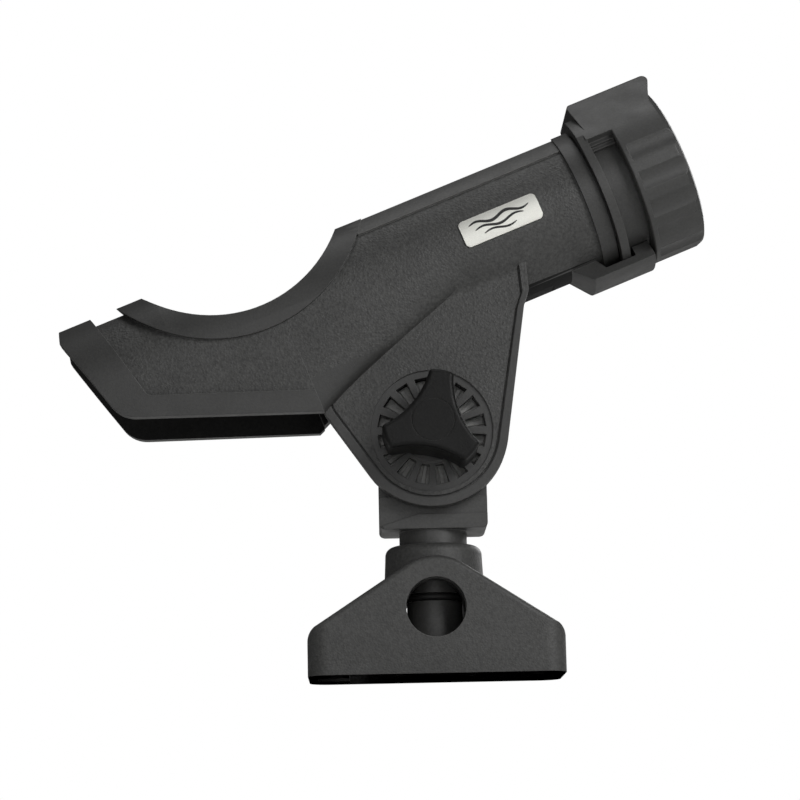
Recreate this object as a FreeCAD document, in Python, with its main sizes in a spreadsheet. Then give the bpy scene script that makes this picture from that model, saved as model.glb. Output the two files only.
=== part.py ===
import FreeCAD, Part
import math
import os
import Sketcher

# Rod holder: a slotted rod tube with an open rear cradle, tilting on a post that
# drops into a side-deck base.  World frame: origin at the centre of the base's
# foot, +X along the base towards the tube's mouth, -Y towards the knob, +Z up.
# The holder's own pieces are drawn in a tube frame: x along the tube from the
# tilt pivot, z square to the tube, y as in the world frame.

Vector = FreeCAD.Vector
Rotation = FreeCAD.Rotation
X_AXIS = Vector(1, 0, 0)
Y_AXIS = Vector(0, 1, 0)
Z_AXIS = Vector(0, 0, 1)

doc = FreeCAD.newDocument("rod_holder")
dims = doc.addObject("Spreadsheet::Sheet", "dims")

# Driving dimensions in millimetres, angles in degrees.
DRIVING = {
    # base
    "base_length": 100, "base_width": 50, "base_corner": 8, "base_end_height": 17,
    "base_slope_reach": 10.9, "base_slope_top": 42.4, "base_wall": 3.5, "base_end_round": 7,
    "base_edge_round": 2, "collar_top": 51.5, "collar_foot_radius": 19.6,
    "collar_head_radius": 18.9, "collar_round": 3.4,
    "socket_radius": 11.6, "socket_wall": 3.9, "side_hole_height": 25.6,
    "arch_radius": 20, "screw_x": 39, "screw_y": 14.5,
    "screw_hole_radius": 2.75, "screw_head_radius": 5.5, "screw_seat": 12,
    "boss_length": 16, "boss_width": 17,
    # post
    "head_length": 42.4, "head_width": 27.8, "head_foot_width": 29.4, "head_bottom": 57.3,
    "head_step": 63, "neck_radius": 13.35, "shank_foot": 3, "land_radius": 11.54,
    "shank_radius": 10.9, "land_foot_top": 11, "spline_bottom": 42, "spline_core": 10.9,
    "spline_width": 1.9, "spline_count": 20, "ring_height": 31, "ring_minor": 1.2,
    "ring_major": 10.34, "groove_radius": 9.1, "groove_width": 3.2, "head_bore": 6.02,
    # pivot
    "pivot_height": 95, "disc_radius": 21, "disc_plate": 1.2, "disc_tooth": 0.8,
    "tooth_inner": 12.5, "tooth_width": 1.9, "tooth_count": 32, "disc_bore": 7.5, "sleeve_radius": 6,
    "bolt_radius": 4, "bolt_clearance": 0.05, "bolt_tip": 38, "hex_flats": 13, "hex_height": 5.4,
    # knob
    "washer_radius": 10, "washer_thick": 1.4, "knob_radius": 19.8, "knob_height": 23.6,
    "knob_scoop_radius": 33.8, "knob_scoop_offset": 44.3, "knob_first_lobe": 79,
    "cap_radius": 8.2, "cap_thick": 1.5, "insert_radius": 7, "insert_length": 16,
    # holder
    "tilt": 22, "tube_axis": 65.3, "tube_radius": 28.5, "bore_radius": 25,
    "slot_half": 15.5, "tube_mouth": 130, "band_proud": 1.9, "cradle_lift": 2, "collar_start": 91.3,
    "collar_end": 97.8, "collar_radius": 30, "lip_proud": 0.8, "lip_start": 4,
    "lip_low": 38, "lip_high": 60, "cradle_end": 36, "wall_foot": 26, "wall_foot_level": 20,
    "wall_thick": 3.5, "saddle_back": 42.4, "saddle_level": 119, "saddle_radius": 48.6,
    "saddle_rim": 58.2, "yoke_face": 21, "yoke_inner": 15.5, "yoke_radius": 30, "ear_radius": 25,
    "yoke_rim_width": 3.4, "yoke_rim_proud": 1.2, "dial_radius": 24, "dial_depth": 0.8,
    "dial_hub": 12.4, "window_inner": 13.5, "window_outer": 21.2, "window_width": 5.2,
    "window_count": 16, "hex_boss_radius": 12, "hex_boss_proud": 3,
    "fillet_radius": 6, "cradle_corner": 12, "panel_corner": 3, "tongue_half_angle": 22,
    "tongue_radius": 36.5, "tongue_inner": 33.2, "badge_start": 41, "badge_length": 33, "badge_height": 10.9,
    "badge_corner": 2, "badge_seat": 27.9, "badge_face": 29.1,
    # lock ring
    "ring_bore": 28.58, "ring_start": 98.5, "strap_end": 102, "strap_radius": 32.8,
    "drum_start": 112.2, "drum_end": 134.7, "drum_radius": 34.25, "drum_lip": 25.6,
    "window_low": -113, "window_high": 29, "gap_half": 35, "flute_count": 13, "flute_pitch": 20.5,
    "flute_radius": 9, "flute_depth": 1.1, "tab_crest": 35.9, "tab_start": 101.5,
    "tab_end": 138, "tab_half": 15.8, "tab_round": 2.6, "stop_radius": 31.4,
}


def fill_sheet():
    """Write the driving dimensions into the sheet and give each cell its name."""
    for row, (name, value) in enumerate(DRIVING.items(), start=1):
        dims.set("A%d" % row, name)
        dims.set("B%d" % row, str(value))
        dims.setAlias("B%d" % row, name)
    doc.recompute()


def value(expression):
    """The number that a sheet expression stands for."""
    result = dims.evalExpression(expression)
    return float(getattr(result, "Value", result))


def bind(thing, **expressions):
    """Bind properties of an object to sheet expressions."""
    for name, expression in expressions.items():
        thing.setExpression(name.replace("__", "."), expression)
    return thing


def move(thing, x="0", y="0", z="0"):
    """Bind the position of an object."""
    return bind(thing, Placement__Base__x=x, Placement__Base__y=y, Placement__Base__z=z)


def box(name, low, size):
    """A box from its low corner and its size, all sheet expressions."""
    block = doc.addObject("Part::Box", name)
    bind(block, Length=size[0], Width=size[1], Height=size[2])
    return move(block, *low)


def bar(name, radius, length, start, along=Z_AXIS):
    """A round bar from the centre of its first end."""
    rod = doc.addObject("Part::Cylinder", name)
    rod.Placement.Rotation = Rotation(Z_AXIS, along)
    bind(rod, Radius=radius, Height=length)
    return move(rod, *start)


def cone(name, foot, head, length, start, along=Z_AXIS):
    """A cone from the centre of its first end."""
    taper = doc.addObject("Part::Cone", name)
    taper.Placement.Rotation = Rotation(Z_AXIS, along)
    bind(taper, Radius1=foot, Radius2=head, Height=length)
    return move(taper, *start)


def fuse(name, *shapes):
    """The union of shapes."""
    whole = doc.addObject("Part::MultiFuse", name)
    whole.Shapes = list(shapes)
    whole.Refine = True
    return whole


def cut(name, base, *tools):
    """A base with tools taken away."""
    rest = doc.addObject("Part::Cut", name)
    rest.Base = base
    rest.Tool = tools[0] if len(tools) == 1 else fuse(name + "_tools", *tools)
    rest.Refine = True
    return rest


def cut_in_turn(name, base, tools):
    """A base with tools taken away one after another."""
    for tool in tools:
        base = cut(name, base, tool)
        base.Refine = False
    return base


def common(name, *shapes):
    """What shapes share."""
    shared = doc.addObject("Part::MultiCommon", name)
    shared.Shapes = list(shapes)
    shared.Refine = True
    return shared


def draw(sketch, corners):
    """Draw a closed outline whose corners are pairs of sheet expressions."""
    points = [(value(across), value(up)) for across, up in corners]
    count = len(points)
    for index, point in enumerate(points):
        following = points[(index + 1) % count]
        sketch.addGeometry(Part.LineSegment(Vector(*point, 0), Vector(*following, 0)), False)
    for index in range(count):
        sketch.addConstraint(Sketcher.Constraint("Coincident", index, 2, (index + 1) % count, 1))
    for index, point in enumerate(points):
        for kind, number, expression in zip(("DistanceX", "DistanceY"), point, corners[index]):
            constraint = sketch.addConstraint(Sketcher.Constraint(kind, -1, 1, index, 1, number))
            sketch.setExpression("Constraints[%d]" % constraint, expression)
    return sketch


def side_prism(name, corners, width):
    """A side outline (x, z) made solid, centred on the XZ plane."""
    sketch = doc.addObject("Sketcher::SketchObject", name + "_outline")
    sketch.Placement.Rotation = Rotation(X_AXIS, 90)
    draw(sketch, corners)
    prism = doc.addObject("Part::Extrusion", name)
    prism.Base = sketch
    prism.DirMode = "Custom"
    prism.Dir = Y_AXIS
    prism.Solid = True
    prism.Symmetric = True
    return bind(prism, LengthFwd=width)


def cross_prism(name, corners, start, length):
    """A cross outline (y, z) made solid along +X."""
    sketch = doc.addObject("Sketcher::SketchObject", name + "_outline")
    sketch.Placement.Rotation = Rotation(Y_AXIS, Z_AXIS, X_AXIS, "ZXY")
    draw(sketch, corners)
    move(sketch, start, "0", "0")
    prism = doc.addObject("Part::Extrusion", name)
    prism.Base = sketch
    prism.DirMode = "Custom"
    prism.Dir = X_AXIS
    prism.Solid = True
    return bind(prism, LengthFwd=length)


def around(angle):
    """Unit direction at an angle about the tube: 0 towards -Y, 90 up."""
    turned = math.radians(angle)
    return Vector(0, -math.cos(turned), math.sin(turned))


def sector(name, radius, start, end, low, high, level="0"):
    """A round sector about the tube's axis between two stations and two angles."""
    wedge = doc.addObject("Part::Cylinder", name)
    wedge.Placement.Rotation = Rotation(around(value(low)), Vector(), -X_AXIS, "ZXY")
    bind(wedge, Radius=radius, Height="(%s)-(%s)" % (end, start), Angle="(%s)-(%s)" % (high, low))
    return move(wedge, end, "0", level)


def turned(name, corners, low, high, level="0"):
    """A profile (x, radius) turned about the tube's axis between two angles."""
    sketch = doc.addObject("Sketcher::SketchObject", name + "_profile")
    radial = around(value(low))
    sketch.Placement.Rotation = Rotation(X_AXIS, radial, Vector(), "XYZ")
    draw(sketch, corners)
    move(sketch, "0", "0", level)
    body = doc.addObject("Part::Revolution", name)
    body.Source = sketch
    body.Axis = -X_AXIS
    body.Solid = True
    bind(body, Angle="(%s)-(%s)" % (high, low), Base__z=level)
    return body


def rounded(name, base, radius, chosen):
    """Round the edges of a shape that a test chooses."""
    doc.recompute()
    fillet = doc.addObject("Part::Fillet", name)
    fillet.Base = base
    size = value(radius)
    edges = enumerate(base.Shape.Edges, start=1)
    fillet.Edges = [(index, size, size) for index, edge in edges if chosen(edge)]
    return fillet


def stands_up(edge):
    """Whether an edge is straight and vertical."""
    box_of = edge.BoundBox
    return box_of.XLength < 1e-6 and box_of.YLength < 1e-6


def named(piece, label, placement=None):
    """Give a finished sub-part its own name and place."""
    piece.Label = label
    if placement is not None:
        piece.Placement = placement
    return piece


def ring_sketch(body, plane, outer, inner=None):
    """A circle, or a ring, on one of a body's origin planes."""
    sketch = body.newObject("Sketcher::SketchObject", body.Name + "_ring")
    faces = [face for face in body.Origin.OriginFeatures if face.Role == plane]
    sketch.AttachmentSupport = [(faces[0], "")]
    sketch.MapMode = "FlatFace"
    for index, radius in enumerate(size for size in (outer, inner) if size):
        sketch.addGeometry(Part.Circle(Vector(), Z_AXIS, value(radius)), False)
        sketch.addConstraint(Sketcher.Constraint("Coincident", index, 3, -1, 1))
        bound = sketch.addConstraint(Sketcher.Constraint("Radius", index, value(radius)))
        sketch.setExpression("Constraints[%d]" % bound, radius)
    return sketch


def outline_sketch(body, plane, corners):
    """A closed outline on one of a body's origin planes."""
    sketch = body.newObject("Sketcher::SketchObject", body.Name + "_outline")
    faces = [face for face in body.Origin.OriginFeatures if face.Role == plane]
    sketch.AttachmentSupport = [(faces[0], "")]
    sketch.MapMode = "FlatFace"
    return draw(sketch, corners)


def pad(body, sketch, length, reverse=False):
    """Raise a sketch into solid."""
    raised = body.newObject("PartDesign::Pad", sketch.Name + "_pad")
    raised.Profile = sketch
    raised.Reversed = reverse
    return bind(raised, Length=length)


def repeat(body, feature, count):
    """Repeat a feature round the body's Z axis."""
    doc.recompute()
    axis = [line for line in body.Origin.OriginFeatures if line.Role == "Z_Axis"][0]
    pattern = body.newObject("PartDesign::PolarPattern", feature.Name + "_set")
    pattern.Originals = [feature]
    pattern.Axis = (axis, [""])
    pattern.Angle = 360
    bind(pattern, Occurrences=count)
    body.Tip = pattern
    return pattern


def facing(sign, start):
    """Place a piece drawn along +Z so that it starts on the pivot's axis at a
    distance from the middle and points to -Y (sign -1) or +Y (sign 1)."""
    turn = Rotation(X_AXIS, Vector(0, 0, 1) if sign < 0 else Vector(0, 0, -1), Vector(), "XYZ")
    return FreeCAD.Placement(Vector(0, sign * value(start), value("dims.pivot_height")), turn)


# ---------------------------------------------------------------- base and post

def base_section(inset):
    """Side outline of the base under its arch, drawn in by an inset."""
    half = "dims.base_length/2-%s" % inset
    reach = "dims.base_slope_reach-%s*0.5" % inset
    end = "dims.base_end_height-%s*0.75" % inset
    top = "dims.base_slope_top-%s*0.85" % inset
    return [("-(%s)" % half, "0"), (half, "0"), (half, end), (reach, top),
            ("-(%s)" % reach, top), ("-(%s)" % half, end)]


def runs_across(edge):
    """Whether an edge is straight and lies along Y."""
    box_of = edge.BoundBox
    return box_of.XLength < 1e-6 and box_of.ZLength < 1e-6


def make_base():
    """Side-deck base: hollow wedge-ended block with an arched middle and a socket collar."""
    width = "dims.base_width"
    half = "dims.base_length/2"
    wall = "dims.base_wall"
    wedge = rounded("base_wedge_round", side_prism("base_wedge", base_section("0"), width),
                    "dims.base_end_round",
                    lambda edge: runs_across(edge)
                    and abs(edge.BoundBox.ZMin - value("dims.base_end_height")) < 0.1)
    arch = bar("base_arch", "dims.arch_radius", width,
               ("0", "-dims.base_width/2", "dims.side_hole_height"), Y_AXIS)
    block = fuse("base_block", wedge, arch)
    soft = rounded("base_block_round", block, "dims.base_edge_round",
                   lambda edge: edge.BoundBox.YLength < 1e-6 and edge.BoundBox.ZMin > 1)
    plan = box("base_plan", ("-%s" % half, "-dims.base_width/2", "0"),
               ("dims.base_length", width, "dims.collar_top"))
    plan_round = rounded("base_plan_round", plan, "dims.base_corner", stands_up)
    shell = common("base_shell", soft, plan_round)
    hollow = side_prism("base_hollow", base_section("(%s+1)" % wall),
                        "dims.base_width-2*%s" % wall)
    hollow_foot = box("base_hollow_foot",
                      ("%s-%s" % (wall, half), "%s-dims.base_width/2" % wall, "-1"),
                      ("dims.base_length-2*%s" % wall, "dims.base_width-2*%s" % wall, "3"))
    column = bar("base_column", "dims.socket_radius+dims.socket_wall", "dims.collar_top",
                 ("0", "0", "-1"))
    bosses = []
    for side in (-1, 1):
        for end in (-1, 1):
            low_x = "-%s" % half if end < 0 else "%s-dims.boss_length" % half
            low_y = "-dims.base_width/2" if side < 0 else "dims.base_width/2-dims.boss_width"
            bosses.append(box("base_boss", (low_x, low_y, "-1"),
                              ("dims.boss_length", "dims.boss_width", "dims.collar_top")))
    pocket = cut("base_pocket", fuse("base_hollow_whole", hollow, hollow_foot), column, *bosses)
    body = cut("base_body", shell, pocket)
    collar = cone("base_collar", "dims.collar_foot_radius+0.6", "dims.collar_head_radius",
                  "dims.collar_top-25", ("0", "0", "25"))
    collar_round = rounded(
        "base_collar_round", collar, "dims.collar_round",
        lambda edge: edge.Closed and edge.BoundBox.ZMin > value("dims.collar_top") - 0.1)
    solid = fuse("base_solid", body, collar_round)
    tools = [
        bar("base_socket", "dims.socket_radius", "dims.collar_top+2", ("0", "0", "-1")),
        bar("base_side_hole", "dims.socket_radius", "dims.base_width+10",
            ("0", "-dims.base_width/2-5", "dims.side_hole_height"), Y_AXIS),
    ]
    for side in (-1, 1):
        for end in (-1, 1):
            spot = ("%d*dims.screw_x" % end, "%d*dims.screw_y" % side)
            tools.append(bar("base_screw_hole", "dims.screw_hole_radius", "dims.collar_top",
                             spot + ("-1",)))
            tools.append(bar("base_screw_seat", "dims.screw_head_radius", "dims.collar_top",
                             spot + ("dims.screw_seat",)))
    return named(cut("base_finished", solid, *tools), "mount_base")


def make_splines():
    """Splined top of the post's shank."""
    body = doc.addObject("PartDesign::Body", "spline_body")
    core = ring_sketch(body, "XY_Plane", "dims.spline_core")
    pad(body, core, "dims.collar_top-dims.spline_bottom")
    half = "dims.spline_width/2"
    ridge = outline_sketch(body, "XY_Plane", [
        ("dims.spline_core-2", "-%s" % half), ("dims.land_radius-0.25", "-%s" % half),
        ("dims.land_radius-0.25", half), ("dims.spline_core-2", half)])
    feature = pad(body, ridge, "dims.collar_top-dims.spline_bottom-0.2")
    repeat(body, feature, "dims.spline_count")
    return move(body, "0", "0", "dims.spline_bottom")


def make_post():
    """Post: rounded head block for the tilt joint, neck and splined shank."""
    head_half = "dims.head_length/2"
    head = box("post_block", ("-%s" % head_half, "-dims.head_width/2", "dims.head_bottom"),
               ("dims.head_length", "dims.head_width", "dims.pivot_height-dims.head_bottom"))
    cheek_width = "2*(dims.yoke_inner-0.3-dims.disc_plate-dims.disc_tooth)"
    head_round = rounded("post_block_round", head, "2", lambda edge: runs_across(edge)
                         and edge.BoundBox.ZMax < value("dims.head_bottom") + 0.1)
    dome = bar("post_dome", head_half, cheek_width,
               ("0", "-(%s)/2" % cheek_width, "dims.pivot_height"), Y_AXIS)
    foot = side_prism("post_foot", [
        ("2-%s" % head_half, "dims.head_bottom"), ("%s-2" % head_half, "dims.head_bottom"),
        (head_half, "dims.head_bottom+2"), (head_half, "dims.head_step"), ("-6", "dims.head_step"),
        ("1-%s" % head_half, "dims.head_bottom+1.3")], "dims.head_foot_width")
    cheeks = []
    for sign in (-1, 1):
        low = "-dims.head_width" if sign < 0 else "(%s)/2" % cheek_width
        cheeks.append(box("post_cheek", ("-dims.head_length", low, "dims.pivot_height-25"),
                          ("2*dims.head_length", "dims.head_width-(%s)/2" % cheek_width, "60")))
    neck = bar("post_neck", "dims.neck_radius", "dims.head_bottom-dims.collar_top",
               ("0", "0", "dims.collar_top"))
    shank = bar("post_shank", "dims.shank_radius", "dims.collar_top-dims.shank_foot",
                ("0", "0", "dims.shank_foot"))
    land = bar("post_land", "dims.land_radius", "dims.land_foot_top-dims.shank_foot",
               ("0", "0", "dims.shank_foot"))
    crown = bar("post_crown", "dims.land_radius", "2.2", ("0", "0", "dims.spline_bottom"))
    block = cut("post_head", fuse("post_head_whole", head_round, dome, foot), *cheeks)
    solid = fuse("post_solid", block, neck, shank, land, crown, make_splines())
    groove_low = "dims.ring_height-dims.groove_width/2"
    groove = cut("post_groove",
                 bar("post_groove_out", "dims.socket_radius+3", "dims.groove_width",
                     ("0", "0", groove_low)),
                 bar("post_groove_in", "dims.groove_radius", "dims.groove_width",
                     ("0", "0", groove_low)))
    bore = bar("post_bore", "dims.head_bore", "60", ("0", "-30", "dims.pivot_height"), Y_AXIS)
    return named(cut("post_finished", solid, groove, bore), "post")


def make_post_ring():
    """Rubber ring in the shank's groove."""
    ring = doc.addObject("Part::Torus", "post_ring")
    bind(ring, Radius1="dims.ring_major", Radius2="dims.ring_minor")
    return named(move(ring, "0", "0", "dims.ring_height"), "post_o_ring")


def make_tooth_disc(label, sign):
    """Toothed disc on one cheek of the post's head."""
    body = doc.addObject("PartDesign::Body", label + "_body")
    plate = ring_sketch(body, "XY_Plane", "dims.disc_radius", "dims.disc_bore")
    pad(body, plate, "dims.disc_plate")
    half = "dims.tooth_width/2"
    tooth = outline_sketch(body, "XY_Plane", [
        ("dims.tooth_inner", "-%s*0.6" % half), ("dims.disc_radius-0.4", "-%s" % half),
        ("dims.disc_radius-0.4", half), ("dims.tooth_inner", "%s*0.6" % half)])
    feature = pad(body, tooth, "dims.disc_plate+dims.disc_tooth")
    repeat(body, feature, "dims.tooth_count")
    start = "dims.yoke_inner-0.3-dims.disc_plate-dims.disc_tooth"
    return named(body, label, facing(sign, start))


def make_tube_piece(label, outer, inner, length, sign, start):
    """A plain ring or sleeve on the pivot's axis."""
    body = doc.addObject("PartDesign::Body", label + "_body")
    pad(body, ring_sketch(body, "XY_Plane", outer, inner), length)
    return named(body, label, facing(sign, start))


def make_bolt():
    """Hex bolt through the yoke, the post's head and the knob."""
    body = doc.addObject("PartDesign::Body", "bolt_body")
    reach = "dims.hex_flats/2/cos(30)"
    corners = [("%s*cos(%d)" % (reach, 60 * k), "%s*sin(%d)" % (reach, 60 * k)) for k in range(6)]
    pad(body, outline_sketch(body, "XY_Plane", corners), "dims.hex_height", True)
    shank = ring_sketch(body, "XY_Plane", "dims.bolt_radius")
    pad(body, shank, "dims.yoke_face-2.5+dims.bolt_tip")
    place = facing(-1, "0")
    tilt = Rotation(Y_AXIS, -value("dims.tilt"))
    head = Vector(0, value("dims.yoke_face-2.5"), value("dims.pivot_height"))
    return named(body, "tilt_bolt", FreeCAD.Placement(head, tilt * place.Rotation))


def make_knob_grip():
    """Three-lobed grip, scooped between its lobes."""
    body = bar("knob_blank", "dims.knob_radius", "dims.knob_height", ("0", "0", "0"))
    skirt = cut("knob_under", bar("knob_under_out", "dims.knob_radius+1", "3.2", ("0", "0", "0")),
                bar("knob_under_in", "12.6", "3.2", ("0", "0", "0")))
    scoops = []
    for lobe in range(3):
        middle = "dims.knob_first_lobe+60+%d" % (120 * lobe)
        scoops.append(bar("knob_scoop", "dims.knob_scoop_radius", "dims.knob_height+2",
                          ("dims.knob_scoop_offset*cos(%s)" % middle,
                           "dims.knob_scoop_offset*sin(%s)" % middle, "-1")))
    lobes = cut("knob_lobes", body, skirt, *scoops)
    rim = value("dims.knob_radius")
    corners = rounded("knob_corners", lobes, "1.5", lambda edge: stands_up(edge)
                      and abs(math.hypot(edge.BoundBox.XMin, edge.BoundBox.YMin) - rim) < 0.5)
    soft = rounded("knob_soft", corners, "1.6",
                   lambda edge: edge.BoundBox.ZMin > value("dims.knob_height") - 0.01)
    seat = bar("knob_cap_seat", "dims.cap_radius+0.05", "dims.cap_thick",
               ("0", "0", "dims.knob_height-dims.cap_thick"))
    bore = bar("knob_bore", "dims.insert_radius+0.02", "dims.insert_length+1",
               ("0", "0", "-1"))
    start = "dims.yoke_face+dims.washer_thick"
    return named(cut("knob_finished", soft, seat, bore), "knob_grip", facing(-1, start))


# ---------------------------------------------------------------- holder

def tube_place(level="0"):
    """The tube frame's place: tilted about the pivot, lifted square to the tube."""
    tilt = Rotation(Y_AXIS, -value("dims.tilt"))
    pivot = Vector(0, 0, value("dims.pivot_height"))
    return FreeCAD.Placement(pivot + tilt.multVec(Vector(0, 0, value(level))), tilt)


CRADLE_SIDE = [
    ("-119.0", "98"), ("-120.9", "88.2"), ("-109.8", "50.7"),
    ("-dims.cradle_end", "22.2"), ("-dims.cradle_end", "98")]
PANEL_SIDE = [
    ("-107.1", "98"), ("-96.8", "54.6"), ("-dims.cradle_end+1", "31.2"),
    ("-dims.cradle_end+1", "98")]


def corner_at(across, up):
    """Test for the edge along Y at a corner of a side outline."""
    return lambda edge: (runs_across(edge) and abs(edge.BoundBox.XMin - across) < 0.1
                         and abs(edge.BoundBox.ZMin - up) < 0.1)


def channel_wire(station, proud, lift):
    """Outer section of the cradle: drafted walls below, upright sides, a round top."""
    radius = value("dims.tube_radius") + proud
    foot = value("dims.wall_foot") + proud * 0.8
    low = value("dims.wall_foot_level") - 5
    axis = value("dims.tube_axis")
    spring = axis + lift
    corners = [Vector(station, y, z) for y, z in (
        (-radius, spring), (-radius, axis), (-foot, low), (foot, low), (radius, axis),
        (radius, spring))]
    top = Vector(station, 0, spring + radius)
    edges = [Part.makeLine(first, second) for first, second in zip(corners, corners[1:])]
    edges.append(Part.Arc(corners[-1], top, corners[0]).toShape())
    return Part.Wire(edges)


def channel(name, stations):
    """The cradle's outer form through stations of (place, proud, lift)."""
    form = doc.addObject("Part::Feature", name)
    form.Shape = Part.makeLoft([channel_wire(*station) for station in stations], True, True)
    return form


def skirt_wire(station, share, side):
    """Section of the wall's foot as it rolls up into the tube; share runs 0 to 1.

    The outside is a quarter of a superellipse: square-shouldered under the cradle
    and as round as the tube where it meets it."""
    level = 22.2 + 26.5 * share ** 0.85
    square = 2 / (4.5 - 2.6 * share ** 0.5)
    draft = 2.2 * (1 - share)
    face = value("dims.yoke_face") - 1.0
    inner = value("dims.yoke_inner")
    axis = value("dims.tube_axis")
    reach = value("dims.tube_radius") - face
    points = []
    steps = 12
    for step in range(steps + 1):
        turn = math.pi / 2 * step / steps
        out = math.cos(turn) ** square if step < steps else 0.0
        down = math.sin(turn) ** square
        points.append(Vector(station, side * (face + (reach - draft * down) * out),
                             axis - (axis - level) * down))
    curve = Part.BSplineCurve()
    curve.interpolate(points)
    low = Vector(station, side * inner, level)
    roof = Vector(station, side * inner, axis)
    return Part.Wire([
        Part.makeLine(roof, points[0]), curve.toShape(),
        Part.makeLine(points[-1], low), Part.makeLine(low, roof)])


def make_skirt(side):
    """Wall foot that sweeps up into the tube's round underside."""
    start = -value("dims.cradle_end")
    length = 72
    stations = 7
    wires = []
    for index in range(stations):
        share = index / (stations - 1)
        wires.append(skirt_wire(start + length * share, share, side))
    skirt = doc.addObject("Part::Feature", "holder_skirt")
    skirt.Shape = Part.makeLoft(wires, True, False)
    return skirt


NEAR_PLATE = {"radius": "dims.yoke_radius", "left": 194.3, "right": -30.3,
              "flank": ("53.3", "31.75"), "shoulder": ("57.5", "36.6"), "top": "61",
              "corner": ("-dims.cradle_end", "22.2")}
FAR_PLATE = {"radius": "dims.ear_radius", "left": 190, "right": -28,
             "flank": ("48", "32"), "shoulder": ("52", "37"), "top": "55",
             "corner": ("-32", "31")}


def plate_outline(plate, inset):
    """Side outline of a yoke plate above its round foot, drawn in by an inset."""
    radius = "(%s-%s)" % (plate["radius"], inset)
    left, right = math.radians(plate["left"]), math.radians(plate["right"])
    flank, shoulder, corner = plate["flank"], plate["shoulder"], plate["corner"]
    return [
        ("%s*%.5f" % (radius, math.cos(left)), "%s*%.5f" % (radius, math.sin(left))),
        ("0", "-%s*0.5" % radius),
        ("%s*%.5f" % (radius, math.cos(right)), "%s*%.5f" % (radius, math.sin(right))),
        ("%s-%s*0.86" % (flank[0], inset), flank[1]),
        ("%s-%s*0.86" % (shoulder[0], inset), shoulder[1]),
        ("%s-%s*0.86" % (plate["top"], inset), "48"), ("%s+%s" % (inset, corner[0]), "48"),
        ("%s+%s" % (inset, corner[0]), corner[1])]


def plate_blank(plate, inset, width):
    """A yoke plate's outline made solid on both sides of the middle plane."""
    foot = bar("plate_foot", "%s-%s" % (plate["radius"], inset), width,
               ("0", "-(%s)/2" % width, "0"), Y_AXIS)
    return fuse("plate", side_prism("plate_web", plate_outline(plate, inset), width), foot)


def make_yoke():
    """Two plates that straddle the post's head; the near one is larger, and both are rimmed."""
    width = "2*dims.yoke_face"
    rim_width = "2*(dims.yoke_face+dims.yoke_rim_proud)"
    shapes = []
    for sign, plate in ((-1, NEAR_PLATE), (1, FAR_PLATE)):
        rim = cut("plate_rim", plate_blank(plate, "0", rim_width),
                  plate_blank(plate, "dims.yoke_rim_width", "dims.base_length"))
        low = "-dims.base_length" if sign < 0 else "0"
        half_space = box("plate_side", ("-dims.base_length", low, "-dims.base_length"),
                         ("2*dims.base_length", "dims.base_length", "2*dims.base_length"))
        shapes.append(common("plate_half", fuse("plate_whole", plate_blank(plate, "0", width), rim),
                             half_space))
    boss = bar("yoke_hex_boss", "dims.hex_boss_radius", "dims.hex_boss_proud+2",
               ("0", "dims.yoke_face-2", "0"), Y_AXIS)
    return fuse("yoke", boss, *shapes)


def yoke_tools():
    """What is taken out of the yoke: its slot, dial, windows and bolt hole."""
    gap = box("yoke_gap", ("-60", "-dims.yoke_inner", "-40"),
              ("130", "2*dims.yoke_inner", "40+dims.tube_axis-dims.tube_radius+0.5"))
    tools = [gap, bar("yoke_bolt_hole", "dims.bolt_radius+0.2", "80", ("0", "-40", "0"), Y_AXIS)]
    deep = "dims.dial_depth+2"
    dial = ("0", "-dims.yoke_face-2", "0")
    tools.append(cut("yoke_dial", bar("yoke_dial_out", "dims.dial_radius", deep, dial, Y_AXIS),
                     bar("yoke_dial_in", "dims.dial_hub", deep, dial, Y_AXIS)))
    groove_edge = "dims.yoke_rim_width+0.9"
    groove = cut("rim_groove", plate_blank(NEAR_PLATE, "dims.yoke_rim_width", "2"),
                 plate_blank(NEAR_PLATE, "(%s)" % groove_edge, "4"))
    tools.append(move(groove, "0", "-dims.yoke_face", "0"))
    wide = "dims.window_width/2"
    windows = []
    for index in range(int(value("dims.window_count"))):
        turn = 360 * (index + 0.5) / value("dims.window_count")
        slot = side_prism("yoke_window", [
            ("dims.window_inner", "-%s*0.6" % wide), ("dims.window_outer", "-%s" % wide),
            ("dims.window_outer", wide), ("dims.window_inner", "%s*0.6" % wide)], "80")
        slot.Placement = FreeCAD.Placement(Vector(), Rotation(Y_AXIS, turn))
        windows.append(slot)
    tools.append(fuse("yoke_windows", *windows))
    reach = "(dims.hex_flats+0.3)/2/cos(30)"
    socket = side_prism("yoke_hex", [
        ("%s*cos(%d)" % (reach, 60 * k), "%s*sin(%d)" % (reach, 60 * k)) for k in range(6)], "20")
    tools.append(move(socket, "0", "dims.yoke_face-2.5+10", "0"))
    return tools


def junction_fillet(side):
    """Concave fillet between a yoke plate and the tube's underside."""
    radius = value("dims.fillet_radius")
    tube = value("dims.tube_radius")
    face = value("dims.yoke_face")
    axis = value("dims.tube_axis")
    drop = math.sqrt((tube + radius) ** 2 - (face + radius) ** 2)
    centre = Vector(0, side * (face + radius), axis - drop)
    plate_end = Vector(0, side * face, axis - drop)
    share = tube / (tube + radius)
    tube_end = Vector(0, side * (face + radius) * share, axis - drop * share)
    heading = (plate_end + tube_end) * 0.5 - centre
    heading.normalize()
    inside = Vector(0, side * (face - 2), axis - drop + 3)
    arc = Part.Arc(plate_end, centre + heading * radius, tube_end).toShape()
    wire = Part.Wire([arc, Part.makeLine(tube_end, inside), Part.makeLine(inside, plate_end)])
    strip = doc.addObject("Part::Feature", "junction_fillet")
    strip.Shape = Part.Face(wire).extrude(Vector(68, 0, 0))
    strip.Placement = FreeCAD.Placement(Vector(-12, 0, 0), Rotation())
    return strip


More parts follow.
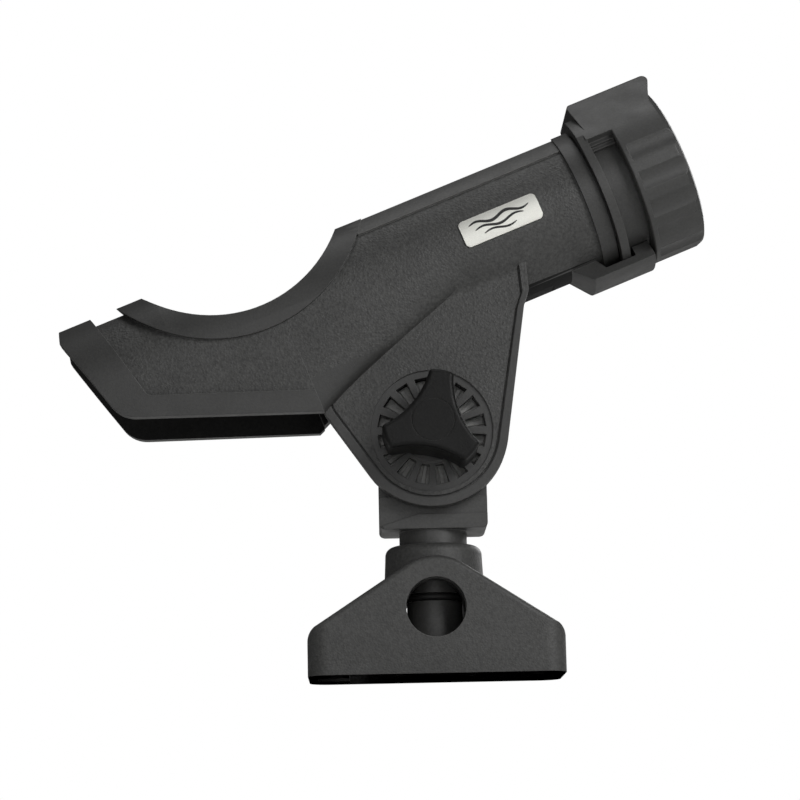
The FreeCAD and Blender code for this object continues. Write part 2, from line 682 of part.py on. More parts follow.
def make_tongue():
    """Hooked tongue under the tube's mouth that keeps the lock ring on."""
    return turned("tongue", [
        ("76.7", "27"), ("84.7", "dims.tongue_radius"), ("111", "dims.tongue_radius"),
        ("111", "29"), ("104", "29"), ("104", "dims.tongue_inner"),
        ("91", "dims.tongue_inner"), ("88", "27")],
        "-90-dims.tongue_half_angle", "-90+dims.tongue_half_angle", "dims.tube_axis")


def make_holder():
    """One moulding: rod tube, rear cradle with its saddle, yoke and tongue."""
    axis = "dims.tube_axis"
    tube = bar("tube", "dims.tube_radius", "dims.cradle_end+dims.tube_mouth",
               ("-dims.cradle_end", "0", axis), X_AXIS)
    collar = bar("tube_collar", "dims.collar_radius", "dims.collar_end-dims.collar_start",
                 ("dims.collar_start", "0", axis), X_AXIS)
    side = rounded("cradle_side_round", side_prism("cradle_side", CRADLE_SIDE, "dims.base_length"),
                   "dims.cradle_corner", corner_at(-109.8, 50.7))
    cradle_end = -value("dims.cradle_end")
    lift = value("dims.cradle_lift")
    walls = common("cradle_walls",
                   channel("cradle_channel", [(-125, 0, lift), (-85, 0, lift), (cradle_end, 0, 0.05)]),
                   side)
    panel = rounded("cradle_panel_round", side_prism("cradle_panel", PANEL_SIDE, "dims.base_length"),
                    "dims.panel_corner", corner_at(-96.8, 54.6))
    saddle_rim = bar("saddle_rim", "dims.saddle_rim", "dims.base_length",
                     ("-dims.saddle_back", "-dims.base_length/2", "dims.saddle_level"), Y_AXIS)
    band_area = fuse("band_area", cut("band_side", side, panel), saddle_rim)
    proud = value("dims.band_proud")
    band = common("cradle_band", channel("band_channel", [
        (-125, proud, lift + 1.2), (-80, proud, lift + 1.2), (-45, proud - 0.3, 0.05),
        (12.4, proud - 0.8, 0.05)]), band_area)
    lips = [sector("lip", "dims.tube_radius+dims.lip_proud", "dims.lip_start",
                   "dims.collar_start", low, high, axis)
            for low, high in (("dims.lip_low", "dims.lip_high"),
                              ("180-dims.lip_high", "180-dims.lip_low"))]
    blank = fuse("holder_blank", tube, collar, walls, band, make_yoke(), *lips,
                 make_skirt(-1), make_skirt(1), junction_fillet(-1), junction_fillet(1))
    inner_low = "dims.wall_foot_level-6"
    cradle_inside = cross_prism("cradle_inside", [
        ("-(dims.wall_foot-dims.wall_thick)", inner_low),
        ("dims.wall_foot-dims.wall_thick", inner_low),
        ("dims.bore_radius", axis), ("-dims.bore_radius", axis)],
        "-130", "130-dims.cradle_end")
    tools = [
        bar("tube_bore", "dims.bore_radius", "300", ("-140", "0", axis), X_AXIS),
        box("tube_slot", ("-140", "-dims.slot_half", axis), ("300", "2*dims.slot_half", "60")),
        bar("saddle", "dims.saddle_radius", "dims.base_length",
            ("-dims.saddle_back", "-dims.base_length/2", "dims.saddle_level"), Y_AXIS),
        cradle_inside,
        badge_blank("badge_pocket", "0.15", "dims.badge_seat"),
    ] + yoke_tools()
    step = side_prism("far_wall_step", [
        ("-42.5", "21.5"), ("-33", "25.5"), ("-31.2", "26.2"), ("-31.2", "15"), ("-42.5", "15")],
        "30")
    tools.append(move(step, "0", "25", "0"))
    hollow = cut_in_turn("holder_hollow", blank, tools)
    finished = fuse("holder_finished", hollow, make_tongue())
    return named(finished, "holder_body", tube_place())


def badge_blank(name, margin, seat):
    """Rounded plate that follows the tube's side, deeper than a seat radius."""
    plate = box(name + "_plate",
                ("dims.badge_start-%s" % margin, "-40", "dims.tube_axis-dims.badge_height/2-%s" % margin),
                ("dims.badge_length+2*%s" % margin, "25", "dims.badge_height+2*%s" % margin))
    soft = rounded(name + "_soft", plate, "dims.badge_corner",
                   lambda edge: edge.BoundBox.YLength > 20)
    core = bar(name + "_core", seat, "dims.badge_length+20",
               ("dims.badge_start-10", "0", "dims.tube_axis"), X_AXIS)
    return cut(name, soft, core)


def make_badge():
    """Small metal plate set into the side of the tube."""
    plate = badge_blank("badge_plate", "0", "dims.badge_seat+0.05")
    skin = bar("badge_skin", "dims.badge_face", "dims.badge_length+20",
               ("dims.badge_start-10", "0", "dims.tube_axis"), X_AXIS)
    return named(common("badge_finished", plate, skin), "name_badge", tube_place())


def make_lock_ring():
    """Split ring that closes the tube's slot, with a thumb tab and a window."""
    blank = turned("ring_blank", [
        ("dims.ring_start", "dims.ring_bore"), ("dims.ring_start", "dims.strap_radius"),
        ("dims.drum_start", "dims.strap_radius"), ("dims.drum_start", "dims.drum_radius-0.5"),
        ("dims.drum_start+0.5", "dims.drum_radius"), ("dims.drum_end-2.6", "dims.drum_radius"),
        ("dims.drum_end-0.8", "dims.drum_radius-0.9"), ("dims.drum_end", "dims.drum_radius-2.6"),
        ("dims.drum_end", "dims.drum_lip"), ("dims.tube_mouth+0.6", "dims.drum_lip"),
        ("dims.tube_mouth+0.6", "dims.ring_bore")], "0", "360")
    flutes = []
    count = int(value("dims.flute_count"))
    for index in range(count):
        heading = around(6.5 - value("dims.flute_pitch") * index)
        reach = value("dims.drum_radius-dims.flute_depth+dims.flute_radius")
        flute = bar("ring_flute", "dims.flute_radius", "dims.drum_end-dims.drum_start",
                    ("dims.drum_start+2.2", "%.4f" % (heading.y * reach), "%.4f" % (heading.z * reach)),
                    X_AXIS)
        flutes.append(flute)
    block = common(
        "tab_block",
        side_prism("tab_side", [
            ("dims.tab_start+2.6", "10"), ("dims.tab_start", "dims.tab_crest"),
            ("dims.tab_end", "dims.tab_crest"), ("dims.tab_end-1.6", "dims.tab_crest-4"),
            ("dims.drum_end-0.4", "dims.tab_crest-8"), ("dims.drum_end-2.6", "23"),
            ("dims.drum_end-2.6", "10")], "2*dims.drum_radius"),
        cross_prism("tab_section", [
            ("-28", "19.6"), ("-21.4", "29.6"), ("-dims.tab_half", "dims.tab_crest"),
            ("dims.tab_half", "dims.tab_crest"), ("21.4", "29.6"), ("28", "19.6"),
            ("20", "12"), ("-20", "12")], "dims.tab_start-1", "dims.tab_end-dims.tab_start+2"))
    tab = rounded("tab", block, "dims.tab_round",
                  lambda edge: edge.BoundBox.ZMin > value("dims.tab_crest") - 0.1)
    shoulder = sector("ring_shoulder", "dims.drum_radius", "dims.strap_end-0.5",
                      "dims.drum_start+1", "dims.window_high", "180-dims.window_high")
    ramp_high = around(value("dims.window_high") + 5)
    ramp_low = around(value("dims.window_high") - 9)
    ramp = cross_prism("ring_ramp", [
        ("%.4f*dims.drum_radius" % ramp_high.y, "%.4f*dims.drum_radius" % ramp_high.z),
        ("%.4f*dims.strap_radius" % ramp_low.y, "%.4f*dims.strap_radius" % ramp_low.z),
        ("%.4f*dims.ring_bore" % ramp_low.y, "%.4f*dims.ring_bore" % ramp_low.z),
        ("%.4f*dims.ring_bore" % ramp_high.y, "%.4f*dims.ring_bore" % ramp_high.z)],
        "dims.ring_start", "dims.strap_end-dims.ring_start")
    crown = sector("ring_crown", "dims.drum_radius", "dims.ring_start", "dims.strap_end",
                   "dims.window_high+5", "175-dims.window_high")
    stops = cut("ring_stops",
                fuse("ring_stop_pair",
                     sector("ring_stop", "dims.stop_radius", "dims.strap_end-1",
                            "dims.drum_start+1", "dims.window_high-3.4", "dims.window_high+1"),
                     sector("ring_step", "dims.stop_radius-1.4", "dims.strap_end-1",
                            "dims.drum_start+1", "dims.window_high-6.4", "dims.window_high-3")),
                bar("ring_stop_bore", "dims.ring_bore", "30", ("90", "0", "0"), X_AXIS))
    whole = fuse("ring_whole", cut("ring_fluted", blank, *flutes), tab, shoulder, ramp, crown)
    tools = [
        bar("ring_inside", "dims.ring_bore", "60", ("dims.tube_mouth+0.6-60", "0", "0"), X_AXIS),
        bar("ring_lip_hole", "dims.drum_lip", "60", ("dims.tube_mouth-5", "0", "0"), X_AXIS),
        sector("ring_window", "60", "dims.strap_end", "dims.drum_start", "dims.window_low",
               "dims.window_high"),
        sector("ring_gap", "60", "dims.ring_start-1", "dims.tab_end+1", "180-dims.gap_half",
               "180+dims.gap_half"),
        sector("ring_relief", "60", "dims.ring_start-1", "dims.strap_end", "57", "123"),
    ]
    ring = fuse("ring_finished", cut("ring_open", whole, *tools), stops)
    return named(ring, "lock_ring", tube_place("dims.tube_axis"))


def make_all():
    """Every sub-part, each with its own name."""
    sleeve_half = "dims.yoke_inner-0.5"
    clear_radius = "dims.bolt_radius+dims.bolt_clearance"
    return [
        make_base(),
        make_post(),
        make_post_ring(),
        make_tooth_disc("near_tooth_disc", -1),
        make_tooth_disc("far_tooth_disc", 1),
        make_tube_piece("pivot_sleeve", "dims.sleeve_radius", clear_radius,
                        "2*(%s)" % sleeve_half, -1, "-(%s)" % sleeve_half),
        make_bolt(),
        make_tube_piece("knob_washer", "dims.washer_radius", clear_radius,
                        "dims.washer_thick", -1, "dims.yoke_face"),
        make_tube_piece("knob_insert", "dims.insert_radius", clear_radius,
                        "dims.insert_length", -1, "dims.yoke_face+dims.washer_thick"),
        make_knob_grip(),
        make_tube_piece("knob_cap", "dims.cap_radius", None, "dims.cap_thick", -1,
                        "dims.yoke_face+dims.washer_thick+dims.knob_height-dims.cap_thick"),
        make_holder(),
        make_lock_ring(),
        make_badge(),
    ]


def check_document():
    """Stop if any object failed to build."""
    for thing in doc.Objects:
        states = set(thing.State)
        if states & {"Invalid", "Error"}:
            raise RuntimeError("%s is %s" % (thing.Name, thing.State))


def write_parts(pieces):
    """Check each sub-part's shape and write it under its own name."""
    for piece in pieces:
        shape = piece.Shape
        if shape.isNull() or not shape.isValid():
            raise RuntimeError("%s has no valid shape" % piece.Label)
    os.makedirs("parts", exist_ok=True)
    for piece in pieces:
        piece.Shape.exportStep("parts/%s.step" % piece.Label)


fill_sheet()
finished_pieces = make_all()
doc.recompute()
check_document()
write_parts(finished_pieces)
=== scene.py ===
import math

import bmesh
import bpy
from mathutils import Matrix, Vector


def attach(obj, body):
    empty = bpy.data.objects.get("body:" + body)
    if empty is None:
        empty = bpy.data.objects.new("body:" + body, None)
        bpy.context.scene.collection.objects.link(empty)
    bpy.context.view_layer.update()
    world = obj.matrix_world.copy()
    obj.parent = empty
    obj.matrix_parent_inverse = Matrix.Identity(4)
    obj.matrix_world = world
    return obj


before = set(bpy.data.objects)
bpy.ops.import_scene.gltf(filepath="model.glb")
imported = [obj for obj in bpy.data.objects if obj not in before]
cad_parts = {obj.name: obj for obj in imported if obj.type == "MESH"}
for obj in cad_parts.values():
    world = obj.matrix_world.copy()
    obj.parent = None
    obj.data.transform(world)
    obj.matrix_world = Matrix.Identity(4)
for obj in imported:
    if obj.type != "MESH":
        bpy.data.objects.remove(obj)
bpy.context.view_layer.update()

MM = 0.001


# ---------------------------------------------------------------- material tools

class Material:
    """A node material that is built step by step."""

    def __init__(self, name):
        self.material = bpy.data.materials.new(name)
        self.material.use_nodes = True
        self.tree = self.material.node_tree
        self.shader = self.tree.nodes["Principled BSDF"]
        self.place = self.node("ShaderNodeTexCoord").outputs["Object"]

    def node(self, kind, **settings):
        made = self.tree.nodes.new(kind)
        for name, value in settings.items():
            setattr(made, name, value)
        return made

    def link(self, source, target):
        self.tree.links.new(source, target)

    def stretched(self, scale):
        """The object's own coordinates, stretched along each axis."""
        mapping = self.node("ShaderNodeMapping")
        mapping.inputs["Scale"].default_value = scale
        self.link(self.place, mapping.inputs["Vector"])
        return mapping.outputs["Vector"]

    def noise(self, size, detail=2.0, roughness=0.5, place=None):
        """Noise whose features are about size metres across."""
        noise = self.node("ShaderNodeTexNoise")
        noise.inputs["Scale"].default_value = 1.0 / size
        noise.inputs["Detail"].default_value = detail
        noise.inputs["Roughness"].default_value = roughness
        self.link(place or self.place, noise.inputs["Vector"])
        return noise.outputs["Fac"]

    def cells(self, size, place=None):
        """Distance to the middle of cells about size metres across."""
        cells = self.node("ShaderNodeTexVoronoi")
        cells.inputs["Scale"].default_value = 1.0 / size
        self.link(place or self.place, cells.inputs["Vector"])
        return cells.outputs["Distance"]

    def spread(self, value, low, high, to_low, to_high):
        """A value carried from one range to another, held at its ends."""
        spread = self.node("ShaderNodeMapRange")
        numbers = {"From Min": low, "From Max": high, "To Min": to_low, "To Max": to_high}
        for name, number in numbers.items():
            spread.inputs[name].default_value = number
        self.link(value, spread.inputs["Value"])
        return spread.outputs["Result"]

    def blend(self, share, first, second):
        """Two colours, or a colour and a socket, mixed by a share."""
        mix = self.node("ShaderNodeMix", data_type="RGBA")
        self.link(share, mix.inputs["Factor"])
        for socket, colour in ((mix.inputs["A"], first), (mix.inputs["B"], second)):
            if isinstance(colour, tuple):
                socket.default_value = (*colour, 1.0)
            else:
                self.link(colour, socket)
        return mix.outputs["Result"]

    def sum(self, first, second, weight):
        """first plus second times weight."""
        add = self.node("ShaderNodeMath", operation="MULTIPLY_ADD")
        self.link(second, add.inputs[0])
        add.inputs[1].default_value = weight
        self.link(first, add.inputs[2])
        return add.outputs["Value"]

    def rounded_normal(self, radius):
        """The surface's normal, eased over sharp edges by a radius."""
        bevel = self.node("ShaderNodeBevel", samples=4)
        bevel.inputs["Radius"].default_value = radius
        return bevel.outputs["Normal"]

    def edges(self, normal):
        """1 along sharp edges, 0 away from them."""
        geometry = self.node("ShaderNodeNewGeometry")
        dot = self.node("ShaderNodeVectorMath", operation="DOT_PRODUCT")
        self.link(normal, dot.inputs[0])
        self.link(geometry.outputs["Normal"], dot.inputs[1])
        return self.spread(dot.outputs["Value"], low=0.80, high=0.99, to_low=1.0, to_high=0.0)

    def bump(self, height, depth, normal=None):
        """Relief of a depth in metres, over an eased normal where one is given."""
        bump = self.node("ShaderNodeBump")
        bump.inputs["Distance"].default_value = depth
        self.link(height, bump.inputs["Height"])
        if normal:
            self.link(normal, bump.inputs["Normal"])
        self.link(bump.outputs["Normal"], self.shader.inputs["Normal"])


# What every moulding shares: its tint, and the sizes in metres of its broad patterns.
TINT = (1.0, 1.0, 0.97)
CLOUD_SIZE = 0.02
# The size of the noise that breaks up the painted highlight along sharp edges.
HIGHLIGHT_BREAKUP_SIZE = 0.004
SHEEN_SIZE = 0.008

# What every metal shares, in metres: the streaks' relief and the easing of its edges.
STREAK_DEPTH = 0.00001
METAL_EDGE = 0.0002


def moulded(name, tone, grain, depth, rough, fleck=0.35, edge=3.0, rounding_radius=0.0005, specular=0.5):
    """Glass-filled nylon: pebble grain, faint clouding, uneven gloss and a painted highlight along
    sharp edges.

    Grain is the pebbles' size and depth their relief, both in metres.  The tone strays by
    a share, fleck.  Sharp edges carry a painted highlight, edge times as pale as the tone and
    broken up by noise, over a width set by the radius rounding_radius, which also eases the normal
    there.
    """
    made = Material(name)
    dark = tuple(tone * (1 - fleck) * channel for channel in TINT)
    light = tuple(tone * (1 + fleck) * channel for channel in TINT)
    # pale is the colour of the painted highlight along sharp edges, not a colour of the nylon.
    pale = tuple(tone * edge * channel for channel in TINT)
    speckle = made.noise(grain * 1.3, detail=3.0, roughness=0.6)
    cloud = made.noise(CLOUD_SIZE, detail=3.0)
    clouded = made.sum(speckle, cloud, weight=0.25)
    share = made.spread(clouded, low=0.45, high=0.80, to_low=0.0, to_high=1.0)
    colour = made.blend(share, dark, light)
    normal = made.rounded_normal(rounding_radius)
    # Painted highlight: the colour is made paler along sharp edges, by a share that noise breaks
    # up.
    highlight_breakup = made.noise(HIGHLIGHT_BREAKUP_SIZE, detail=3.0, roughness=0.6)
    edge_highlight_share = made.node("ShaderNodeMath", operation="MULTIPLY")
    made.link(made.edges(normal), edge_highlight_share.inputs[0])
    made.link(made.spread(highlight_breakup, low=0.3, high=0.65, to_low=0.25, to_high=0.85),
              edge_highlight_share.inputs[1])
    made.link(made.blend(edge_highlight_share.outputs["Value"], colour, pale),
              made.shader.inputs["Base Color"])
    sheen = made.noise(SHEEN_SIZE, detail=3.0)
    gloss = made.spread(sheen, low=0.3, high=0.7, to_low=rough - 0.05, to_high=rough + 0.06)
    made.link(gloss, made.shader.inputs["Roughness"])
    made.shader.inputs["Specular IOR Level"].default_value = specular
    pebble = made.spread(made.cells(grain), low=0.0, high=0.7, to_low=1.0, to_high=0.0)
    fine = made.noise(grain * 0.45)
    made.bump(made.sum(pebble, fine, weight=0.6), depth, normal)
    return made.material


def metal(name, dark, light, rough, streak, stretch):
    """Turned or brushed metal with streaks of a size in metres, stretched along an axis."""
    made = Material(name)
    streaks = made.noise(streak, detail=3.0, roughness=0.6, place=made.stretched(stretch))
    share = made.spread(streaks, low=0.35, high=0.65, to_low=0.0, to_high=1.0)
    made.link(made.blend(share, dark, light), made.shader.inputs["Base Color"])
    gloss = made.spread(streaks, low=0.3, high=0.7, to_low=rough - 0.07, to_high=rough + 0.08)
    made.link(gloss, made.shader.inputs["Roughness"])
    made.shader.inputs["Metallic"].default_value = 1.0
    made.bump(streaks, STREAK_DEPTH, made.rounded_normal(METAL_EDGE))
    return made.material


GRAIN = moulded("grained_nylon", tone=0.042, grain=0.0010, depth=0.00010, rough=0.52)
SMOOTH = moulded("smooth_nylon", tone=0.034, grain=0.0007, depth=0.00002, rough=0.46, fleck=0.14)
# Painted shade: the holder's inner faces get a far darker, duller tone that stands in for the shade
# inside it.
INNER_SHADE = moulded("inner_painted_shade", tone=0.010, grain=0.0012, depth=0.00004, rough=0.70, fleck=0.2,
                edge=1.6, specular=0.15)
# The raised lips along the slot: a real smooth bead, painted a lighter tone that stands in for the
# light on their upward-facing faces.
LIP = moulded("lip_nylon", tone=0.062, grain=0.0008, depth=0.00003, rough=0.50, fleck=0.18)
BASE = moulded("base_nylon", tone=0.048, grain=0.0009, depth=0.00006, rough=0.54, fleck=0.24)
RING = moulded("ring_nylon", tone=0.038, grain=0.0008, depth=0.00002, rough=0.46, fleck=0.13)
POST = moulded("post_nylon", tone=0.045, grain=0.0008, depth=0.00002, rough=0.46, fleck=0.16)
# The knob's chamfers carry a strong painted highlight, six times as pale as its tone.
KNOB = moulded("knob_nylon", tone=0.007, grain=0.0009, depth=0.00005, rough=0.42, fleck=0.2,
               edge=6.0, rounding_radius=0.0008, specular=0.18)
DISC = moulded("disc_acetal", tone=0.24, grain=0.0009, depth=0.00002, rough=0.40, fleck=0.18,
               edge=1.5)
SEAL = moulded("seal_rubber", tone=0.010, grain=0.0008, depth=0.00001, rough=0.60, fleck=0.2)
INK = moulded("badge_ink", tone=0.008, grain=0.0005, depth=0.00001, rough=0.45, fleck=0.15)
STEEL = metal("turned_steel", dark=(0.42, 0.42, 0.41), light=(0.62, 0.62, 0.61), rough=0.30,
              streak=0.0006, stretch=(1, 1, 6))
BRASS = metal("turned_brass", dark=(0.55, 0.40, 0.18), light=(0.72, 0.56, 0.28), rough=0.28,
              streak=0.0006, stretch=(1, 6, 1))
BADGE = metal("badge_metal", dark=(0.62, 0.62, 0.58), light=(0.80, 0.80, 0.75), rough=0.45,
              streak=0.0004, stretch=(1, 1, 8))

FINISH = {
    "mount_base": BASE, "post": POST, "post_o_ring": SEAL, "near_tooth_disc": DISC,
    "far_tooth_disc": DISC, "pivot_sleeve": STEEL, "tilt_bolt": STEEL, "knob_washer": STEEL,
    "knob_insert": BRASS, "knob_grip": KNOB, "knob_cap": KNOB, "holder_body": GRAIN,
    "lock_ring": RING, "name_badge": BADGE,
}

# The holder's own frame: along the tube from the tilt pivot, and square to it.
TILT = math.radians(22)
PIVOT_HEIGHT = 95.0
TUBE_AXIS = 65.3

# Where the holder's finishes, and the painted shade on its inner faces, change, in millimetres
# in that frame.  A limit that follows a shape lies a hair past it.
YOKE_INSIDE = 15.7        # half the gap between the yoke plates
YOKE_FACE = 21.4          # half the width over the plates, without their raised rims
YOKE_TOP = 37             # where the plates meet the tube
DIAL_RADIUS = 24.1        # the sunk dial round the pivot
UNDER_TUBE = 40           # above the tube's underside
TONGUE_START = 76         # just behind the tongue that hooks under the ring
BORE_RADIUS = 25.4        # the inside of the tube
MOUTH_START = 91          # the raised band at the tube's mouth
LIP_START = 4             # the near end of the raised lips along the slot
LIP_RADIUS = 28.6         # the tube's outside, over which the lips stand
LIP_LOW, LIP_HIGH = 37, 61    # the lips' lower and upper edges, in degrees
SADDLE_END = 13           # the front end of the saddle's rim
SADDLE_ALONG, SADDLE_UP = -42.4, 119      # the centre of the saddle's arc
SADDLE_RIM = 58.4         # the radius of its rim
CORNER_ALONG, CORNER_UP = -96.8, 54.6     # where the cradle's smooth edge bands meet
REAR_LEAN = 0.237         # how far the rear band goes back for each millimetre up
FOOT_LEAN = 0.390         # how far the lower band goes down for each millimetre forwards
FOOT_END = -36            # the lower band's front end
INWARD = -0.3             # how far inwards the normal of an inner cradle face leans

# The badge: the radius of its face, and how far its ink lies below and above that face.
BADGE_FACE = 29.1
INK_BELOW = 0.04
INK_ABOVE = 0.06
STROKE_STEPS = 48
STROKE_TAPER = 0.35       # the lower, the blunter a stroke's ends
STROKE_TIP = 0.02         # half the thickness at its very ends


def in_holder(point):
    """A point in millimetres along the tube, across it, and up from the pivot's line."""
    x, y, z = point.x / MM, point.y / MM, point.z / MM - PIVOT_HEIGHT
    return (x * math.cos(TILT) + z * math.sin(TILT), y,
            z * math.cos(TILT) - x * math.sin(TILT))


def from_holder(along, across, up):
    """The world point, in metres, of a point given in the holder's frame."""
    return Vector((along * math.cos(TILT) - up * math.sin(TILT), across,
                   PIVOT_HEIGHT + along * math.sin(TILT) + up * math.cos(TILT))) * MM


def holder_finish(face):
    """Which of the holder's finishes a face has; its inner faces get the much darker inner
    material, as painted shade.
    """
    along, across, up = in_holder(face.center)
    side = abs(across)
    radius = math.hypot(across, up - TUBE_AXIS)
    turn = math.degrees(math.atan2(up - TUBE_AXIS, side))
    in_yoke = side < YOKE_INSIDE and up < UNDER_TUBE and along < TONGUE_START
    in_cradle = along < 0 and face.normal.y * across < INWARD * side
    # Painted shade: faces between the yoke plates, inside the cradle and in the bore get the dark
    # inner material.
    if in_yoke or in_cradle or radius < BORE_RADIUS:
        return INNER_SHADE
    if along > MOUTH_START or (along > TONGUE_START and up < UNDER_TUBE):
        return SMOOTH
    # The lips get the lighter lip material: a smooth finish, with painted light on their
    # upward-facing faces.
    if along > LIP_START and LIP_LOW < turn < LIP_HIGH and radius > LIP_RADIUS:
        return LIP
    from_saddle = math.hypot(along - SADDLE_ALONG, up - SADDLE_UP)
    on_saddle_rim = along < SADDLE_END and from_saddle < SADDLE_RIM
    behind = along < CORNER_ALONG - (up - CORNER_UP) * REAR_LEAN
    below = along < FOOT_END and up < CORNER_UP - (along - CORNER_ALONG) * FOOT_LEAN
    on_yoke_rim = up < YOKE_TOP and side > YOKE_FACE
    on_dial = up < YOKE_TOP and math.hypot(along, up) < DIAL_RADIUS
    if on_saddle_rim or behind or below or on_yoke_rim or on_dial:
        return SMOOTH
    return GRAIN


def finish_nodes():
    """Give every CAD piece its material, and the holder's faces theirs."""
    for name, material in FINISH.items():
        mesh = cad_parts[name].data
        mesh.materials.clear()
        mesh.materials.append(material)
    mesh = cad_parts["holder_body"].data
    places = {GRAIN: 0}
    for material in (SMOOTH, INNER_SHADE, LIP):
        places[material] = len(mesh.materials)
        mesh.materials.append(material)
    for face in mesh.polygons:
        face.material_index = places[holder_finish(face)]


# ---------------------------------------------------------------- badge marks

def wave_outline(start, length, level, swing, thick, turns):
    """The upper and lower edges of a tapered wavy stroke, as points along and up."""
    upper, lower = [], []
    for step in range(STROKE_STEPS + 1):
        share = step / STROKE_STEPS
        along = start + length * share
        middle = level + swing * math.sin(turns * 2 * math.pi * share)
        half = STROKE_TIP
        if 0 < share < 1:
            half = thick / 2 * math.sin(math.pi * share) ** STROKE_TAPER
        upper.append((along, middle + half))
        lower.append((along, middle - half))
    return upper, lower


def make_badge_marks():
    """Three plain wave strokes printed on the metal plate."""
    inner, outer = BADGE_FACE - INK_BELOW, BADGE_FACE + INK_ABOVE
    vertices, faces = [], []
    strokes = (
        wave_outline(start=44.5, length=26, level=67.6, swing=0.9, thick=1.3, turns=2.0),
        wave_outline(start=46.5, length=21, level=65.1, swing=0.8, thick=1.1, turns=1.5),
        wave_outline(start=49.5, length=14, level=62.8, swing=0.7, thick=0.9, turns=1.0),
    )
    for upper, lower in strokes:
        first = len(vertices)
        for top, bottom in zip(upper, lower):
            section = ((top, inner), (top, outer), (bottom, outer), (bottom, inner))
            for (along, up), reach in section:
                across = -math.sqrt(reach ** 2 - (up - TUBE_AXIS) ** 2)
                vertices.append(from_holder(along, across, up))
        for step in range(STROKE_STEPS):
            ring = first + 4 * step
            for corner in range(4):
                other = (corner + 1) % 4
                faces.append((ring + corner, ring + other, ring + 4 + other, ring + 4 + corner))
        last = first + 4 * STROKE_STEPS
        faces.append((first + 3, first + 2, first + 1, first))
        faces.append((last, last + 1, last + 2, last + 3))
    mesh = bpy.data.meshes.new("badge_marks")
    mesh.from_pydata(vertices, [], faces)
    mesh.validate()
    build = bmesh.new()
    build.from_mesh(mesh)
    bmesh.ops.recalc_face_normals(build, faces=build.faces)
    build.to_mesh(mesh)
    build.free()
    mesh.materials.append(INK)
    marks = bpy.data.objects.new("badge_marks", mesh)
    bpy.context.scene.collection.objects.link(marks)
    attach(marks, "holder")


# ---------------------------------------------------------------- stage

# The floor, in metres: half its width, and where it starts and ends to fade.
FLOOR_HALF = 1.5
FADE_START = 0.35
FADE_END = 1.3

# The world's light, from its strength at the lower height to that at the upper one, where
# height is the upward part of the direction.
WORLD_LIGHT = {"From Min": -0.25, "From Max": 0.6, "To Min": 0.02, "To Max": 0.10}

# The camera, solved from the object's own edges: its place, lens and sensor in
# millimetres, and its turns about X, Y and Z in degrees.
CAMERA_PLACE = (-26.993, -1022.789, -77.956)
CAMERA_TURNS = (100.4763, 1.2169, -0.6202)
CAMERA_LENS = 117.03
CAMERA_SENSOR = 36

LAMP_TARGET = Vector((0, 0, 0.12))


def make_floor():
    """A pale floor that can be seen from above only and fades out at its rim."""
    corners = [(x * FLOOR_HALF, y * FLOOR_HALF, 0) for x, y in ((-1, -1), (1, -1), (1, 1), (-1, 1))]
    mesh = bpy.data.meshes.new("floor")
    mesh.from_pydata(corners, [], [(0, 1, 2, 3)])
    floor = bpy.data.objects.new("floor", mesh)
    bpy.context.scene.collection.objects.link(floor)
    paint = bpy.data.materials.new("floor_paint")
    paint.use_nodes = True
    tree = paint.node_tree
    shader = tree.nodes["Principled BSDF"]
    shader.inputs["Base Color"].default_value = (0.86, 0.86, 0.85, 1)
    shader.inputs["Roughness"].default_value = 0.7
    clear = tree.nodes.new("ShaderNodeBsdfTransparent")
    side = tree.nodes.new("ShaderNodeNewGeometry")
    mix = tree.nodes.new("ShaderNodeMixShader")
    output = tree.nodes["Material Output"]
    place = tree.nodes.new("ShaderNodeTexCoord")
    reach = tree.nodes.new("ShaderNodeVectorMath")
    reach.operation = "LENGTH"
    fade = tree.nodes.new("ShaderNodeMapRange")
    fade.interpolation_type = "SMOOTHSTEP"
    fade.inputs["From Min"].default_value = FADE_START
    fade.inputs["From Max"].default_value = FADE_END
    unseen = tree.nodes.new("ShaderNodeMath")
    unseen.operation = "MAXIMUM"
    tree.links.new(place.outputs["Object"], reach.inputs[0])
    tree.links.new(reach.outputs["Value"], fade.inputs["Value"])
    tree.links.new(fade.outputs["Result"], unseen.inputs[0])
    tree.links.new(side.outputs["Backfacing"], unseen.inputs[1])
    tree.links.new(unseen.outputs["Value"], mix.inputs["Fac"])
    tree.links.new(shader.outputs["BSDF"], mix.inputs[1])
    tree.links.new(clear.outputs["BSDF"], mix.inputs[2])
    tree.links.new(mix.outputs["Shader"], output.inputs["Surface"])
    mesh.materials.append(paint)


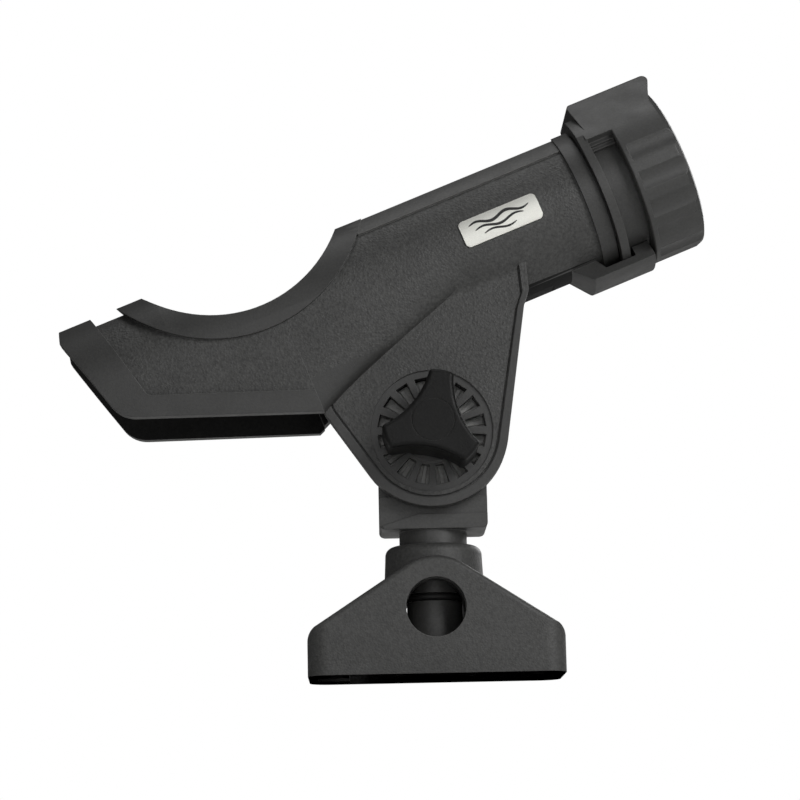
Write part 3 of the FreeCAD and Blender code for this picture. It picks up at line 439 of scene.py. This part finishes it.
def make_world():
    """White surroundings: plain to the camera, and a faint light that is stronger from above."""
    world = bpy.data.worlds.new("studio")
    bpy.context.scene.world = world
    world.use_nodes = True
    tree = world.node_tree
    background = tree.nodes["Background"]
    background.inputs["Color"].default_value = (1, 1, 1, 1)
    place = tree.nodes.new("ShaderNodeTexCoord")
    parts = tree.nodes.new("ShaderNodeSeparateXYZ")
    height = tree.nodes.new("ShaderNodeMapRange")
    for name, number in WORLD_LIGHT.items():
        height.inputs[name].default_value = number
    path = tree.nodes.new("ShaderNodeLightPath")
    level = tree.nodes.new("ShaderNodeMix")
    level.inputs["B"].default_value = 1.0
    tree.links.new(place.outputs["Generated"], parts.inputs["Vector"])
    tree.links.new(parts.outputs["Z"], height.inputs["Value"])
    tree.links.new(path.outputs["Is Camera Ray"], level.inputs["Factor"])
    tree.links.new(height.outputs["Result"], level.inputs["A"])
    tree.links.new(level.outputs["Result"], background.inputs["Strength"])


def make_light(name, place, size, power):
    """A soft square lamp aimed at the object, its place and size in metres."""
    lamp = bpy.data.lights.new(name, "AREA")
    lamp.shape = "SQUARE"
    lamp.size = size
    lamp.energy = power
    light = bpy.data.objects.new(name, lamp)
    light.location = place
    aim = LAMP_TARGET - Vector(place)
    light.rotation_euler = aim.to_track_quat("-Z", "Y").to_euler()
    bpy.context.scene.collection.objects.link(light)


def make_camera():
    """The viewpoint: a little below the deck, square to the holder's side."""
    camera_data = bpy.data.cameras.new("camera")
    camera_data.lens = CAMERA_LENS
    camera_data.sensor_width = CAMERA_SENSOR
    camera = bpy.data.objects.new("camera", camera_data)
    camera.location = Vector(CAMERA_PLACE) * MM
    camera.rotation_euler = [math.radians(turn) for turn in CAMERA_TURNS]
    bpy.context.scene.collection.objects.link(camera)
    bpy.context.scene.camera = camera


make_camera()
finish_nodes()
make_badge_marks()
make_floor()
make_world()
make_light("key", place=(0.70, -0.90, 0.55), size=0.6, power=8)
make_light("front", place=(-0.10, -1.30, 0.20), size=0.7, power=2.2)
make_light("top", place=(-0.10, -0.15, 1.20), size=0.6, power=2.6)
make_light("back", place=(0.60, 0.95, 0.60), size=0.7, power=6)
bpy.context.scene.view_settings.view_transform = "Standard"
